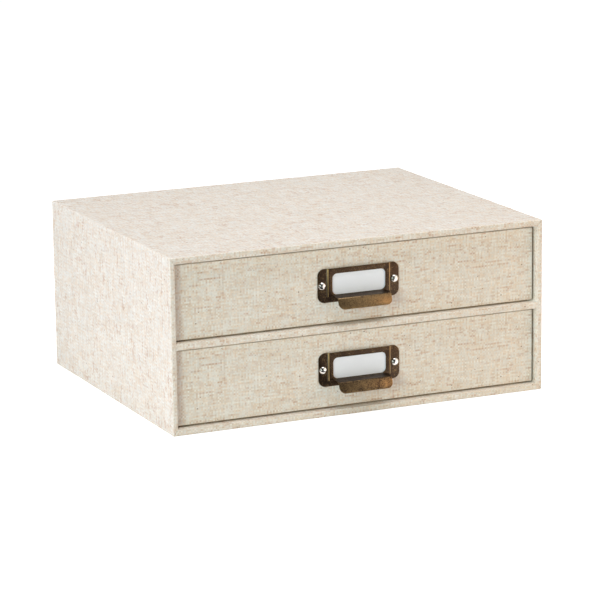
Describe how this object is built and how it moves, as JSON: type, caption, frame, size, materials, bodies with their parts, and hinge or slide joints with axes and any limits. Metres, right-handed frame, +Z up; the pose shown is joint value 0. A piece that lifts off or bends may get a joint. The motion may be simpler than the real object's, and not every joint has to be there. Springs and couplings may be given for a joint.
{
  "type": "desk file box with drawers",
  "caption": "Low desk box wrapped in linen cloth, with stacked shallow drawers that slide out at the front, each with a metal label holder, pull and card.",
  "frame": {"origin": "on the table under the middle of the case, at the centre of the paper panel under it", "axes": "+X to the right along the width, +Y to the back, so the drawers slide out along -Y, +Z up"},
  "size_m": [0.33, 0.2781, 0.144],
  "materials": {
    "greyboard": "raw pressed board",
    "linen_cloth": "woven linen with slubs, matt",
    "lining_paper": "uncoated laid paper",
    "label_card": "smooth white card",
    "antique_brass": "darkened brass, rubbed bright at the edges",
    "nickel": "polished nickel plate"
  },
  "bodies": {
    "case": {"case_left_board": "greyboard", "case_right_board": "greyboard", "case_top_board": "greyboard", "case_base_board": "greyboard", "case_back_board": "greyboard", "shelf_board": "greyboard", "case_wrap_cloth": "linen_cloth", "case_back_cloth": "linen_cloth", "case_base_paper": "lining_paper", "shelf_cloth": "linen_cloth", "lower_cell_lining": "lining_paper", "upper_cell_lining": "lining_paper"},
    "lower_drawer": {"lower_drawer_front_board": "greyboard", "lower_drawer_left_board": "greyboard", "lower_drawer_right_board": "greyboard", "lower_drawer_back_board": "greyboard", "lower_drawer_base_board": "greyboard", "lower_drawer_cloth": "linen_cloth", "lower_drawer_lining": "lining_paper", "lower_drawer_base_paper": "lining_paper", "lower_label_holder": "antique_brass", "lower_label_pins": "nickel"},
    "lower_card": {"lower_label_card": "label_card"},
    "upper_drawer": {"upper_drawer_front_board": "greyboard", "upper_drawer_left_board": "greyboard", "upper_drawer_right_board": "greyboard", "upper_drawer_back_board": "greyboard", "upper_drawer_base_board": "greyboard", "upper_drawer_cloth": "linen_cloth", "upper_drawer_lining": "lining_paper", "upper_drawer_base_paper": "lining_paper", "upper_label_holder": "antique_brass", "upper_label_pins": "nickel"},
    "upper_card": {"upper_label_card": "label_card"}
  },
  "joints": [
    {"name": "lower_drawer_slide", "type": "slide", "parent": "case", "child": "lower_drawer", "axis": [0, -1, 0], "range_m": [0, 0.233]},
    {"name": "lower_card_slide", "type": "slide", "parent": "lower_drawer", "child": "lower_card", "axis": [0, 0, 1], "range_m": [0, 0.014]},
    {"name": "upper_drawer_slide", "type": "slide", "parent": "case", "child": "upper_drawer", "axis": [0, -1, 0], "range_m": [0, 0.233]},
    {"name": "upper_card_slide", "type": "slide", "parent": "upper_drawer", "child": "upper_card", "axis": [0, 0, 1], "range_m": [0, 0.014]}
  ]
}
